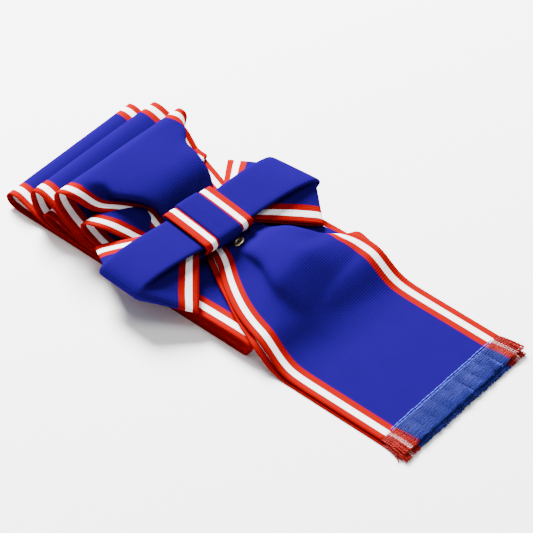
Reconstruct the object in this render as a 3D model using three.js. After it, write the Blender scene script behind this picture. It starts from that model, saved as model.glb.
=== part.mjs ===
// Sash of an order, laid down folded: a broad ribbon loop folded in zigzag, a bow and
// its knot band on top, two fringed tails and a small gilt eyelet.
// Millimetres. +X runs along the tails, +Y to the back, +Z up, and the table is z = 0.

import * as THREE from 'three';
import { mergeVertices } from 'three/addons/utils/BufferGeometryUtils.js';

// driving sizes
const ribbonWidth = 100;
const clothThick = 1.0;
const restGap = 0.3;
const layerPitch = clothThick + restGap;

const farFoldReach = 150;
const crestHeight = 36;
const tailReach = 124;
const tailCrest = 26;
const fringeLength = 17.5;
const fringeThick = 1.0;
const fringeLocks = 12;
const lockGap = 0.8;
const lockRoot = 0.45;
const lockUneven = 0.12;
const lockFlare = 2.5;
const lowerTailLonger = 2.5;
const lowerTailForward = 1.5;
const stackEnd = 30;
const flatTailStart = 60;
const lowerTailLag = 5;
const slopePitch = layerPitch * 1.6;
const drawStart = 103;
const drawFull = 62;
const backDraw = 13;

const bowCentreX = -39;
const bowCentreY = -3;
const bowHalfSpan = 71;
const bowHeight = 25;
const knotWidth = 34;
const knotThick = 2.0;
const knotHalfLength = 18.4;
const knotStep = 0.5;
const bowTurn = 6;
const bowMarginColumns = 9;
const upperTailColumns = 20;
const tuckInside = 5;
const foldDrop = 2.6;
const bowPanel = 31;
const bowMargin = (ribbonWidth - bowPanel) / 2;
const cornerFoldGap = 0.8;
const eyeletOuter = 3.4;
const eyeletHole = 1.7;
const eyeletThick = 1.2;
const eyeletFromKnot = 1.9;
const eyeletY = -1;
const eyeletLift = 1.81;
const eyeletSlopeX = 0.48;
const eyeletSlopeY = 0.3;

// the bounding box is centred over the origin by this shift
const shiftX = 3.0;
const shiftY = 3.1;

const royalBlue = 0x33339f;
const fringeBlue = 0x4b5fc8;
const giltColour = 0xc9a85a;

// height of the middle of layer n of the folded stack, counted from the table
const layer = (n) => clothThick / 2 + n * layerPitch;
const stackTop = layer(7);

// folded loop, from the upper end at the knot round to the lower end at the knot
// x: share of the far fold's reach, z: share of the crest height, or a layer of the stack
// front: place of the front edge, share of the half width, -1 when left out
// swing: how far the back edge lies ahead of the front edge in X, share of the ribbon width
// back: share of the height above the stack that is left at the back edge
// gather, farGather: share of the full gather, press: flattening of the gather
// steps: sections to the next row, 1 when left out
const loopRows = [
  { x: -0.335, z: 0.435, front: -0.34, gather: 1.0, farGather: 1.0, press: 0.40 },
  { x: -0.380, z: 0.445, front: -0.36, gather: 1.0, farGather: 1.0, press: 0.42 },
  { x: -0.408, z: 0.540, front: -0.38, gather: 1.0, farGather: 1.0, press: 0.58, steps: 2 },
  { x: -0.450, z: 0.745, front: -0.44, gather: 0.92, farGather: 0.92, steps: 2 },
  { x: -0.500, z: 0.850, front: -0.52, gather: 0.74, farGather: 0.72, steps: 2 },
  { x: -0.560, z: 0.920, back: 0.9, front: -0.68, gather: 0.42, farGather: 0.46, steps: 2 },
  { x: -0.620, z: 0.965, back: 0.84, front: -0.86, gather: 0.18, farGather: 0.25 },
  { x: -0.670, z: 0.990, back: 0.8, front: -0.97, farGather: 0.11 },
  { x: -0.707, z: 1.000, back: 0.78, farGather: 0.03 },
  { x: -0.733, z: 0.940, back: 0.78 },
  { x: -0.742, z: 0.810, back: 0.8 },
  { x: -0.725, z: 0.640, back: 0.84 },
  { x: -0.675, z: 0.450, back: 0.9 },
  { x: -0.610, z: 0.315, back: 0.95 },
  { x: -0.540, z: 0.246 },
  { x: -0.460, layer: 6 },
  { x: -0.100, layer: 6 },
  { x: 0.205, layer: 6, swing: 0.05, steps: 2 },
  { x: 0.211, layer: 5.5, swing: 0.05, steps: 2 },
  { x: 0.205, layer: 5, swing: 0.05 },
  { x: -0.100, layer: 5 },
  { x: -0.520, layer: 5 },
  { x: -0.590, z: 0.215 },
  { x: -0.650, z: 0.300 },
  { x: -0.715, z: 0.460 },
  { x: -0.775, z: 0.620, back: 0.92 },
  { x: -0.825, z: 0.690, back: 0.9 },
  { x: -0.857, z: 0.660, back: 0.9 },
  { x: -0.868, z: 0.540, back: 0.92 },
  { x: -0.857, z: 0.340 },
  { x: -0.833, z: 0.180 },
  { x: -0.795, z: 0.110 },
  { x: -0.730, layer: 2 },
  { x: -0.100, layer: 2 },
  { x: 0.185, layer: 2, swing: 0.03, steps: 2 },
  { x: 0.191, layer: 1.5, swing: 0.03, steps: 2 },
  { x: 0.185, layer: 1, swing: 0.03 },
  { x: -0.100, layer: 1 },
  { x: -0.740, layer: 1 },
  { x: -0.820, z: 0.105 },
  { x: -0.900, z: 0.220 },
  { x: -0.955, z: 0.295 },
  { x: -0.990, z: 0.260 },
  { x: -1.000, z: 0.160 },
  { x: -0.985, z: 0.065 },
  { x: -0.945, z: 0.020 },
  { x: -0.880, layer: 0 },
  { x: -0.100, layer: 0 },
  { x: 0.185, layer: 0, swing: 0.03, steps: 2 },
  { x: 0.204, layer: 1.5, swing: 0.03, steps: 2 },
  { x: 0.185, layer: 3, swing: 0.03 },
  { x: -0.100, layer: 3 },
  { x: -0.720, layer: 3 },
  { x: -0.775, z: 0.175 },
  { x: -0.805, z: 0.265 },
  { x: -0.785, z: 0.345 },
  { x: -0.740, z: 0.330 },
  { x: -0.670, z: 0.235 },
  { x: -0.590, z: 0.172 },
  { x: -0.520, layer: 4 },
  { x: -0.100, layer: 4 },
  { x: 0.205, layer: 4, swing: 0.05, steps: 2 },
  { x: 0.224, layer: 5.5, swing: 0.05, steps: 2 },
  { x: 0.205, layer: 7, swing: 0.05 },
  { x: -0.100, layer: 7 },
  { x: -0.440, layer: 7 },
  { x: -0.510, z: 0.305, back: 0.15 },
  { x: -0.565, z: 0.385, back: 0.15 },
  { x: -0.605, z: 0.490, back: 0.15 },
  { x: -0.610, z: 0.600, back: 0.15 },
  { x: -0.580, z: 0.670, back: 0.15 },
  { x: -0.530, z: 0.660, back: 0.2, front: -0.92, gather: 0.08 },
  { x: -0.480, z: 0.530, back: 0.4, front: -0.82, gather: 0.35 },
  { x: -0.440, z: 0.395, back: 0.8, front: -0.70, gather: 0.75 },
  { x: -0.405, z: 0.345, front: -0.62, gather: 1 },
];

// how the upper end of the loop is gathered, from the front edge to the back edge
// flat, drawn: shares of the ribbon width when flat and when fully gathered, turn in degrees
// settle: share of the gather at which the turn is complete, columns: divisions of the part
const upperGather = [
  { part: 'front margin', flat: 0.120, drawn: 0.120, turn: 10, settle: 0.4, columns: 1 },
  { part: 'pleat under', flat: 0.030, drawn: 0.050, turn: 150, settle: 0.4, columns: 2 },
  { part: 'pleat back', flat: 0.015, drawn: 0.040, turn: 0, settle: 0.4, columns: 1 },
  { part: 'pleat over', flat: 0.045, drawn: 0.080, turn: -155, settle: 0.4, columns: 2 },
  { part: 'top front', flat: 0.335, drawn: 0.180, turn: -6, settle: 0.4, columns: 2 },
  { part: 'top back', far: true, flat: 0.335, drawn: 0.180, turn: -8, settle: 0.3, columns: 1 },
  { part: 'back turn', far: true, flat: 0.080, drawn: 0.100, turn: -150, settle: 0.3, columns: 2 },
  { part: 'back flap', far: true, flat: 0.040, drawn: 0.250, turn: -8, settle: 0.3, columns: 1 },
];

// a plain tuck under the back edge, for the ribbon ends that lie under the gathers
const tuckGather = [
  { part: 'front margin', flat: 0.120, drawn: 0.120, turn: 0, settle: 1, columns: 2 },
  { part: 'front half', flat: 0.330, drawn: 0.200, turn: 0, settle: 1, columns: 3 },
  { part: 'back half', flat: 0.460, drawn: 0.230, turn: 0, settle: 1, columns: 3 },
  { part: 'tuck turn', flat: 0.026, drawn: 0.026, turn: -178, settle: 0.2, columns: 3 },
  { part: 'tuck flap', flat: 0.064, drawn: 0.424, turn: 0, settle: 1, columns: 1 },
];

// tails, from under the bow out to the stitch line
// x: share of the tail's reach, z: share of the tail's crest, or a layer above the table
// upper tail, as shares of the half width: its front edge, the valley behind the front border, the
// lip of the hump, and the fold or the edge at the back; hollow: how far the hump's front is cut in
// under its lip, sag: how far the back hangs below the top, both in millimetres
const upperTailRows = [
  { x: -0.230, z: 0.600, front: -0.28, valley: -0.22, lip: -0.16, fold: 0.40 },
  { x: -0.190, z: 0.605, front: -0.31, valley: -0.24, lip: -0.17, fold: 0.47, hollow: 1, sag: 0.5 },
  { x: -0.150, z: 0.670, front: -0.37, valley: -0.26, lip: -0.16, fold: 0.46, hollow: 2, sag: 1 },
  { x: -0.110, z: 0.770, front: -0.44, valley: -0.29, lip: -0.15, fold: 0.42, hollow: 3, sag: 1 },
  { x: -0.060, z: 0.870, front: -0.54, valley: -0.31, lip: -0.15, fold: 0.55, hollow: 3, sag: 1.5 },
  { x: 0.030, z: 0.930, front: -0.69, valley: -0.34, lip: -0.17, fold: 0.67, hollow: 2.5, sag: 4.5 },
  { x: 0.110, z: 0.95, front: -0.79, valley: -0.42, lip: -0.26, fold: 0.8, hollow: 1, sag: 10, swing: -0.04 },
  { x: 0.185, z: 0.930, front: -0.86, valley: -0.58, lip: -0.32, fold: 0.92, sag: 12.5, swing: -0.08 },
  { x: 0.250, z: 0.790, front: -0.90, valley: -0.68, lip: -0.32, fold: 1.00, sag: 11, swing: -0.10 },
  { x: 0.315, z: 0.590, front: -0.94, valley: -0.74, lip: -0.30, fold: 1.04, sag: 8, swing: -0.10 },
  { x: 0.380, z: 0.350, front: -0.97, valley: -0.76, lip: -0.30, fold: 1.03, sag: 4, swing: -0.08 },
  { x: 0.445, z: 0.170, valley: -0.76, lip: -0.30, fold: 1.00, sag: 1.5, swing: -0.04 },
  { x: 0.510, z: 0.085, valley: -0.76, lip: -0.30, fold: 1.00 },
  { x: 0.590, layer: 1, valley: -0.76, lip: -0.30, fold: 1.00 },
  { x: 1.000, layer: 1, valley: -0.76, lip: -0.30, fold: 1.00 },
];
const lowerTailRows = [
  { x: -0.230, z: 0.485, front: -0.33, gather: 0.90, steps: 2 },
  { x: -0.065, z: 0.485, front: -0.58, gather: 0.60, steps: 2 },
  { x: 0.080, z: 0.480, front: -0.785, gather: 0.20 },
  { x: 0.160, z: 0.455, front: -0.885, gather: 0.04, swing: 0.01 },
  { x: 0.225, z: 0.430, front: -0.945, swing: 0.04 },
  { x: 0.270, z: 0.415, front: -1.00, swing: 0.05 },
  { x: 0.317, z: 0.310, front: -1.02, swing: 0.05 },
  { x: 0.370, z: 0.150, front: -1.03, swing: 0.05 },
  { x: 0.425, z: 0.050, front: -1.03, swing: 0.03 },
  { x: 0.490, layer: 0, front: -1.03 },
  { x: 0.600, layer: 0, front: -1.03 },
  { x: 1.000, layer: 0, front: -1.03 },
];

// bow ring, from the meeting point under the knot, round the back loop, over the top, round the
// front loop and under again; y: share of the bow's half span, z: share of the bow height
// spread: how far the margins have left the knot for the bow's corners, over: 1 on the upper side
const bowRows = [
  { y: 0.020, z: 0.700 },
  { y: 0.280, z: 0.690 },
  { y: 0.450, z: 0.650, spread: 0.20 },
  { y: 0.620, z: 0.610, spread: 0.45 },
  { y: 0.780, z: 0.600, spread: 0.72 },
  { y: 0.920, z: 0.680, spread: 0.94 },
  { y: 0.975, z: 0.820, spread: 1.00, over: 0.5 },
  { y: 0.945, z: 0.960, spread: 0.96, over: 1 },
  { y: 0.810, z: 1.060, spread: 0.80, over: 1 },
  { y: 0.600, z: 1.080, spread: 0.51, over: 1 },
  { y: 0.380, z: 1.040, spread: 0.20, over: 1 },
  { y: 0.240, z: 1.000, over: 1 },
  { y: -0.240, z: 1.000, over: 1 },
  { y: -0.400, z: 1.030, spread: 0.22, over: 1 },
  { y: -0.610, z: 1.050, spread: 0.52, over: 1 },
  { y: -0.800, z: 1.010, spread: 0.78, over: 1 },
  { y: -0.910, z: 0.920, spread: 0.94, over: 1 },
  { y: -0.955, z: 0.780, spread: 1.00, over: 0.5 },
  { y: -0.930, z: 0.640, spread: 0.96 },
  { y: -0.830, z: 0.570, spread: 0.80 },
  { y: -0.660, z: 0.600, spread: 0.50 },
  { y: -0.450, z: 0.650, spread: 0.20 },
  { y: -0.280, z: 0.690 },
  { y: -0.020, z: 0.700 },
];

// outer edge of the ribbon at the bow's four corners, in the bow's own frame
// side: -1 towards the loop, end: -1 towards the front
// x: share of half the ribbon width, y: share of the bow's half span, z: share of the bow height
// panel: width of the flat middle there, share of its width at the knot
// short: how far that end of the middle stays behind the bow's tip, share of the half span
const bowCorners = [
  { side: -1, end: -1, x: -0.704, y: -0.7634, z: 0.560, panel: 1.000 },
  { side: 1, end: -1, x: 0.830, y: -0.6268, z: 0.464, panel: 1.000, short: 0.0282 },
  { side: -1, end: 1, x: -0.740, y: 0.6817, z: 0.560, panel: 1.000, short: 0.0986 },
  { side: 1, end: 1, x: 0.806, y: 0.7113, z: 0.600, panel: 1.194 },
];

// the same edge where it leaves the knot; x: share of the knot's half length
// y: share of half the knot width, z: share of the bow height
const bowEdgeAtKnot = [
  { side: 1, end: -1, over: 1, x: 0.6196, y: -1.0471, z: 0.852 },
  { side: 1, end: -1, over: 0, x: 0.5978, y: -1.0000, z: 0.784 },
  { side: 1, end: 1, over: 1, x: 0.6630, y: 1.1176, z: 0.852 },
  { side: 1, end: 1, over: 0, x: 0.6413, y: 1.0882, z: 0.784 },
  { side: -1, end: -1, over: 1, x: -0.5707, y: -1.0941, z: 0.840 },
  { side: -1, end: -1, over: 0, x: -0.5163, y: -0.9706, z: 0.784 },
  { side: -1, end: 1, over: 1, x: -0.5707, y: 1.0941, z: 0.840 },
  { side: -1, end: 1, over: 0, x: -0.5163, y: 0.9706, z: 0.784 },
];

// knot band over the bow's middle; x: share of the knot's half length, z: share of the bow height
const knotRows = [
  { x: -1.000, z: 0.960 },
  { x: -0.985, z: 1.020 },
  { x: -0.930, z: 1.060 },
  { x: -0.600, z: 1.075 },
  { x: 0.000, z: 1.080 },
  { x: 0.600, z: 1.075 },
  { x: 0.900, z: 1.055 },
  { x: 0.965, z: 0.985 },
  { x: 0.930, z: 0.880 },
  { x: 0.860, z: 0.790 },
];

// knot band from its front edge to its back edge; y: share of the half width, raise: share of the step
const knotSection = [
  { y: -1.00, raise: 0 },
  { y: -0.60, raise: 0 },
  { y: -0.44, raise: 1 },
  { y: 0.00, raise: 1 },
  { y: 0.44, raise: 1 },
  { y: 0.60, raise: 0 },
  { y: 1.00, raise: 0 },
];

const ease = (t) => {
  const c = Math.min(1, Math.max(0, t));
  return c * c * (3 - 2 * c);
};

const mix = (a, b, t) => a + (b - a) * t;

const rowHeight = (row, crest) => (row.z === undefined ? layer(row.layer) : row.z * crest);

// value that a row carries, or the value it has when the row leaves it out
const plainValues = {
  front: -1,
  swing: 0,
  gather: 0,
  farGather: 0,
  press: 1,
  back: 1,
  valley: -1,
  lip: -1,
  fold: 1,
  hollow: 0,
  sag: 0,
  spread: 0,
  over: 0,
};
const carriedValue = (row, key) => row[key] ?? plainValues[key];

// stations along a path: a smooth curve through the rows, with each row's values carried along
// plainSteps: sections from a row to the next one, where the row gives no steps
function stationsAlong(rows, toPoint, plainSteps = 1) {
  const curve = new THREE.CatmullRomCurve3(rows.map(toPoint), false, 'centripetal');
  const last = rows.length - 1;
  const stations = [];
  const addStation = (row, next, share, index) => {
    const at = (index + share) / last;
    const station = { point: curve.getPoint(at), tangent: curve.getTangent(at), at };
    for (const key of Object.keys(plainValues)) {
      station[key] = mix(carriedValue(row, key), carriedValue(next, key), share);
    }
    stations.push(station);
  };
  for (let i = 0; i < last; i += 1) {
    const steps = rows[i].steps ?? plainSteps;
    for (let k = 0; k < steps; k += 1) {
      addStation(rows[i], rows[i + 1], k / steps, i);
    }
  }
  addStation(rows[last], rows[last], 0, last);
  return stations;
}

// cross-section of a gathered ribbon, as points from one edge to the other
// every part is an arc, so the ribbon keeps its full width however it is gathered
// settle: share of the gather at which a part's turn is complete; far parts follow the far gather
// the section is laid level at its hold column
function ribbonSection(parts, station, holdColumn) {
  const points = [{ across: 0, up: 0, angle: 0 }];
  let { across, up, angle } = points[0];
  for (const p of parts) {
    const gather = p.far ? station.farGather : station.gather;
    const length = mix(p.flat, p.drawn, gather) * ribbonWidth;
    const turn = THREE.MathUtils.degToRad(p.turn * ease(gather / p.settle));
    const half = turn / p.columns / 2;
    const chord = (length / p.columns) * (half === 0 ? 1 : Math.sin(half) / half);
    for (let k = 0; k < p.columns; k += 1) {
      angle += half;
      across += chord * Math.cos(angle);
      up += chord * Math.sin(angle);
      angle += half;
      points.push({ across, up, angle });
    }
  }
  const hold = points[holdColumn];
  const c = Math.cos(-hold.angle);
  const s = Math.sin(-hold.angle);
  return points.map((p) => {
    const a = p.across - hold.across;
    const u = p.up - hold.up;
    return { across: a * c - u * s, up: a * s + u * c };
  });
}

// closed cloth solid: a box divided into a grid of faces, bent so that its middle follows the grid
function clothSolid(grid, thick) {
  const rows = grid.length - 1;
  const columns = grid[0].length - 1;
  const box = new THREE.BoxGeometry(1, 1, 1, rows, columns, 1);
  const place = box.attributes.position;
  const along = new THREE.Vector3();
  const sideways = new THREE.Vector3();
  const normal = new THREE.Vector3();
  for (let v = 0; v < place.count; v += 1) {
    const i = Math.round((place.getX(v) + 0.5) * rows);
    const j = Math.round((place.getY(v) + 0.5) * columns);
    const d = (Math.sign(place.getZ(v)) * thick) / 2;
    along.subVectors(grid[Math.min(i + 1, rows)][j], grid[Math.max(i - 1, 0)][j]);
    sideways.subVectors(grid[i][Math.min(j + 1, columns)], grid[i][Math.max(j - 1, 0)]);
    normal.crossVectors(along, sideways).normalize();
    const p = grid[i][j];
    place.setXYZ(v, p.x + normal.x * d, p.y + normal.y * d, p.z + normal.z * d);
  }
  box.deleteAttribute('normal');
  box.deleteAttribute('uv');
  const solid = mergeVertices(box, 1e-5);
  solid.computeVertexNormals();
  return solid;
}

// how far the back edges of the stack are drawn in where the bow ties them down
function drawnToKnot(x, z) {
  const nearing = THREE.MathUtils.clamp((x + drawStart) / (drawStart - drawFull), 0, 1);
  const leaving = ease((x + drawFull) / drawFull);
  return backDraw * nearing * (1 - leaving) * ease((crestHeight * 0.6 - z) / (crestHeight * 0.3));
}

// places at even shares of the way along a line through corners
// cornerShares: the share at each corner, by length when left out
function placesBetween(corners, columns, cornerShares) {
  const lengths = [0];
  for (let i = 1; i < corners.length; i += 1) {
    lengths.push(lengths[i - 1] + corners[i].distanceTo(corners[i - 1]));
  }
  const total = lengths[lengths.length - 1];
  const shares = cornerShares ?? lengths.map((length) => length / total);
  const places = [];
  for (let k = 0; k <= columns; k += 1) {
    const share = k / columns;
    let i = 1;
    while (i < corners.length - 1 && shares[i] < share) i += 1;
    const reach = shares[i] - shares[i - 1];
    const t = reach > 0 ? (share - shares[i - 1]) / reach : 1;
    places.push(corners[i - 1].clone().lerp(corners[i], THREE.MathUtils.clamp(t, 0, 1)));
  }
  return places;
}

// the same grid with its sharp places eased, as cloth lies
function eased(grid, passes) {
  let places = grid;
  for (let n = 0; n < passes; n += 1) {
    places = places.map((line, i) => line.map((p, j) => {
      if (i === 0 || i === places.length - 1) return p;
      const near = [places[i - 1][j], places[i + 1][j]];
      if (j > 0 && j < line.length - 1) near.push(line[j - 1], line[j + 1]);
      const middle = near.reduce((sum, q) => sum.add(q), new THREE.Vector3()).divideScalar(near.length);
      return p.clone().lerp(middle, 0.3);
    }));
  }
  return places;
}

// grid of a ribbon that runs along X; facing is 1 where the path runs to +X under the section's
// upper side and -1 where it runs back to -X
// restUnder: lowest height at which the cloth comes to rest
function ribbonAlongX(stations, gatherAt, restUnder, drawIn = () => 0) {
  return stations.map((s) => {
    const { parts, hold, facing } = gatherAt(s);
    const section = ribbonSection(parts, s, hold);
    const frontY = (s.front * ribbonWidth) / 2;
    const upX = -s.tangent.z * facing;
    const upZ = s.tangent.x * facing;
    return section.map((c) => {
      const y = frontY + c.across - section[0].across;
      const backShare = y / ribbonWidth + 0.5;
      const h = c.up * s.press;
      const x = s.point.x + upX * h + s.swing * backShare * ribbonWidth;
      const z = Math.max(s.point.z + upZ * h, restUnder(x, backShare));
      const aboveStack = (z - stackTop) * mix(1, s.back, backShare);
      const height = s.back === 1 ? z : stackTop + aboveStack;
      return new THREE.Vector3(x, y - drawIn(x, height) * Math.max(0, backShare), height);
    });
  });
}

// folded loop
function loopGrid() {
  const stations = stationsAlong(
    loopRows,
    (r) => new THREE.Vector3(r.x * farFoldReach, 0, rowHeight(r, crestHeight)),
  );
  const upperEnd = { parts: upperGather, hold: 8, facing: -1 };
  const lowerEnd = { parts: tuckGather, hold: 5, facing: 1 };
  const ends = (s) => (s.at < 0.5 ? upperEnd : lowerEnd);
  return ribbonAlongX(stations, ends, () => layer(0), drawnToKnot);
}

// height of a row table's path at a place along X
function heightAlong(rows, reach, x) {
  const next = rows.findIndex((r) => r.x * reach > x);
  if (next <= 0) return rowHeight(rows[next < 0 ? rows.length - 1 : 0], tailCrest);
  const [a, b] = [rows[next - 1], rows[next]];
  const share = (x / reach - a.x) / (b.x - a.x);
  return mix(rowHeight(a, tailCrest), rowHeight(b, tailCrest), share);
}

// tails
function tailStations(rows, reach, plainSteps) {
  const toPoint = (r) => new THREE.Vector3(r.x * reach, 0, rowHeight(r, tailCrest));
  return stationsAlong(rows, toPoint, plainSteps);
}

// places across the upper tail: front edge, valley, lip, top, back fold and what is tucked under
function upperTailSection(s, restUnder) {
  const { x, z: top } = s.point;
  const half = ribbonWidth / 2;
  const place = (y, z) => {
    const backShare = y / ribbonWidth + 0.5;
    const height = Math.max(z, restUnder(x, backShare));
    return new THREE.Vector3(x + s.swing * backShare * ribbonWidth, y, height);
  };
  const low = restUnder(x, 0.3);
  const hump = Math.max(0, top - low);
  const lip = s.lip * half;
  const fold = s.fold * half;
  const back = top - s.sag;
  const places = [
    place(s.front * half, low),
    place(s.valley * half, low),
    place(lip + s.hollow, low + hump * 0.35),
    place(lip, low + hump * 0.8),
    place(lip + half * 0.12, top),
    place(mix(lip, fold, 0.5), top),
    place(fold, back),
  ];
  const shares = [0];
  for (let i = 1; i < places.length; i += 1) {
    shares.push(shares[i - 1] + places[i].distanceTo(places[i - 1]) / ribbonWidth);
  }
  const spare = ribbonWidth * (1 - shares[shares.length - 1]);
  const inner = Math.max(fold - spare, lip + tuckInside);
  const under = Math.min(foldDrop, hump * 0.5);
  if (spare > foldDrop && inner < fold) {
    places.push(place(fold - 0.5, back - under), place(inner, back - under * 1.3));
    shares.push(shares[shares.length - 1] + under / ribbonWidth, 1);
  } else {
    shares[shares.length - 1] = 1;
  }
  return { places, shares };
}

function upperTailGrid(restUnder) {
  const grid = tailStations(upperTailRows, tailReach, 2).map((s) => {
    const { places, shares } = upperTailSection(s, restUnder);
    return placesBetween(places, upperTailColumns, shares);
  });
  return eased(grid, 2).map((line) => line.map((p) => {
    const rest = restUnder(p.x, p.y / ribbonWidth + 0.5);
    return new THREE.Vector3(p.x, p.y, Math.max(p.z, rest));
  }));
}

// outer edge of the ribbon at a section of the bow: straight from the knot to the corner
function bowEdge(s, side, end) {
  const corner = bowCorners.find((c) => c.side === side && c.end === end);
  const upper = bowEdgeAtKnot.find((k) => k.side === side && k.end === end && k.over === 1);
  const lower = bowEdgeAtKnot.find((k) => k.side === side && k.end === end && k.over === 0);
  const share = s.spread ** mix(1.35, 1, s.over);
  const knotX = mix(lower.x, upper.x, s.over) * knotHalfLength;
  const knotY = (mix(lower.y, upper.y, s.over) * knotWidth) / 2;
  const knotZ = mix(lower.z, upper.z, s.over) * bowHeight;
  const apart = cornerFoldGap * Math.min(1, (1 - share) * 16) * (2 * s.over - 1);
  return new THREE.Vector3(
    mix(knotX, (corner.x * ribbonWidth) / 2, share),
    mix(end * Math.min(Math.abs(s.point.y), Math.abs(knotY)), corner.y * bowHalfSpan, share),
    mix(knotZ, corner.z * bowHeight + apart, share),
  );
}

// places that the margin passes, from the outer edge in under the panel and out to its fold
function bowFold(s, side, end) {
  const corner = bowCorners.find((c) => c.side === side && c.end === end);
  const half = (mix(1, corner.panel, s.spread) * bowPanel) / 2;
  const inward = new THREE.Vector3(0, -s.tangent.z, s.tangent.y);
  const behind = (corner.short ?? 0) * bowHalfSpan * ease(s.spread);
  const fold = s.point.clone().add(new THREE.Vector3(side * half, -end * behind, 0));
  const edge = bowEdge(s, side, end);
  const out = side * (edge.x - fold.x);
  const away = edge.distanceTo(fold);
  const room = (bowMargin ** 2 - away ** 2) / (2 * (bowMargin + out));
  const depth = THREE.MathUtils.clamp(room, 0, half - 0.5);
  const tucked = ease(depth / 4);
  const under = fold.clone().addScaledVector(inward, layerPitch * tucked);
  const inner = under.clone().addScaledVector(inward, restGap * tucked);
  inner.x -= side * depth;
  const below = inner.clone().addScaledVector(inward, layerPitch * tucked);
  return [edge, below, inner, under, fold];
}

// bow: the ring runs in the YZ plane, its section along X
function bowGrid() {
  const stations = stationsAlong(
    bowRows,
    (r) => new THREE.Vector3(0, r.y * bowHalfSpan, r.z * bowHeight),
  );
  const grid = stations.map((s) => {
    const end = s.point.y < 0 ? -1 : 1;
    const left = placesBetween(bowFold(s, -1, end), bowMarginColumns);
    const right = placesBetween(bowFold(s, 1, end), bowMarginColumns);
    const middle = left[bowMarginColumns].clone().lerp(right[bowMarginColumns], 0.5);
    return [...left, middle, ...right.reverse()];
  });
  return eased(grid, 1);
}

// knot band: pleated lengthwise, so its middle stands a little above its two striped margins
function knotGrid() {
  const stations = stationsAlong(
    knotRows,
    (r) => new THREE.Vector3(r.x * knotHalfLength, 0, r.z * bowHeight),
  );
  return stations.map((s) => knotSection.map((c) => new THREE.Vector3(
    s.point.x - s.tangent.z * c.raise * knotStep,
    (c.y * knotWidth) / 2,
    s.point.z + s.tangent.x * c.raise * knotStep,
  )));
}

// fringe: a head along the stitch line with the frayed locks fused to it
function fringeSolid(length) {
  const half = ribbonWidth / 2;
  const pitch = ribbonWidth / fringeLocks;
  const outline = new THREE.Shape();
  outline.moveTo(0, -half);
  for (let k = 0; k < fringeLocks; k += 1) {
    const y = -half + k * pitch;
    const outward = lockFlare * ((k + 0.5) / fringeLocks - 0.5) * 2;
    const reach = length * (1 - lockUneven * (0.5 + 0.5 * Math.sin(k * 2.4)));
    const notch = k === 0 ? y : y + lockGap / 2;
    const nextNotch = k === fringeLocks - 1 ? y + pitch : y + pitch - lockGap / 2;
    if (k > 0) outline.lineTo(length * lockRoot, notch);
    outline.lineTo(reach, y + lockGap + outward);
    outline.lineTo(reach * 1.01, y + pitch - lockGap + outward);
    if (k < fringeLocks - 1) outline.lineTo(length * lockRoot, nextNotch);
  }
  outline.lineTo(0, half);
  outline.closePath();
  return new THREE.ExtrudeGeometry(outline, { depth: fringeThick, bevelEnabled: false });
}

// eyelet: rolled ring, turned about its axis
function eyeletSolid() {
  const middle = (eyeletOuter + eyeletHole) / 2;
  const radial = (eyeletOuter - eyeletHole) / 2;
  const profile = [];
  for (let k = 0; k <= 8; k += 1) {
    const t = (k / 8) * Math.PI * 2;
    profile.push(new THREE.Vector2(middle + radial * Math.cos(t), (eyeletThick / 2) * Math.sin(t)));
  }
  return new THREE.LatheGeometry(profile, 20);
}

function colouredMesh(name, geometry, colour, roughness, metalness) {
  const material = new THREE.MeshStandardMaterial({ color: colour, roughness, metalness });
  const mesh = new THREE.Mesh(geometry, material);
  mesh.name = name;
  return mesh;
}

const lowerTailReach = tailReach + lowerTailLonger;
const restOnStack = (x) => (x < stackEnd ? stackTop + layerPitch : layer(0));
const restOnLower = (x, backShare) => {
  const under = heightAlong(lowerTailRows, lowerTailReach, x - backShare * lowerTailLag);
  return under + (x < flatTailStart ? slopePitch : layerPitch);
};
const lowerEnding = { parts: tuckGather, hold: 5, facing: 1 };

const sash = new THREE.Group();
sash.position.set(shiftX, shiftY, 0);

sash.add(colouredMesh('sash_loop', clothSolid(loopGrid(), clothThick), royalBlue, 0.75, 0));
sash.add(colouredMesh(
  'tail_upper',
  clothSolid(upperTailGrid(restOnLower), clothThick),
  royalBlue,
  0.75,
  0,
));
sash.add(colouredMesh(
  'tail_lower',
  clothSolid(
    ribbonAlongX(tailStations(lowerTailRows, lowerTailReach), () => lowerEnding, restOnStack),
    clothThick,
  ),
  royalBlue,
  0.75,
  0,
));

const fringeUpper = colouredMesh('fringe_upper', fringeSolid(fringeLength), fringeBlue, 0.85, 0);
fringeUpper.position.set(tailReach + restGap, 0, layer(1) - fringeThick / 2);
sash.add(fringeUpper);

const fringeLower = colouredMesh('fringe_lower', fringeSolid(fringeLength), fringeBlue, 0.85, 0);
fringeLower.position.set(lowerTailReach + restGap, -lowerTailForward, layer(0) - fringeThick / 2);
sash.add(fringeLower);

const bow = new THREE.Group();
bow.position.set(bowCentreX, bowCentreY, 0);
bow.rotation.z = THREE.MathUtils.degToRad(-bowTurn);
bow.add(colouredMesh('bow_ribbon', clothSolid(bowGrid(), clothThick), royalBlue, 0.75, 0));
bow.add(colouredMesh('knot_band', clothSolid(knotGrid(), knotThick), royalBlue, 0.75, 0));
sash.add(bow);

// the eyelet lies on the upper tail, beside the knot
const eyelet = colouredMesh('eyelet', eyeletSolid(), giltColour, 0.3, 1);
const eyeletX = bowCentreX + knotHalfLength + eyeletFromKnot;
const eyeletZ = heightAlong(upperTailRows, tailReach, eyeletX) + eyeletLift;
eyelet.position.set(eyeletX, eyeletY, eyeletZ);
eyelet.quaternion.setFromUnitVectors(
  new THREE.Vector3(0, 1, 0),
  new THREE.Vector3(-eyeletSlopeX, -eyeletSlopeY, 1).normalize(),
);
sash.add(eyelet);

export default sash;
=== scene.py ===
import math
import random

import bmesh
import bpy
from mathutils import Matrix, Quaternion, Vector


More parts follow.
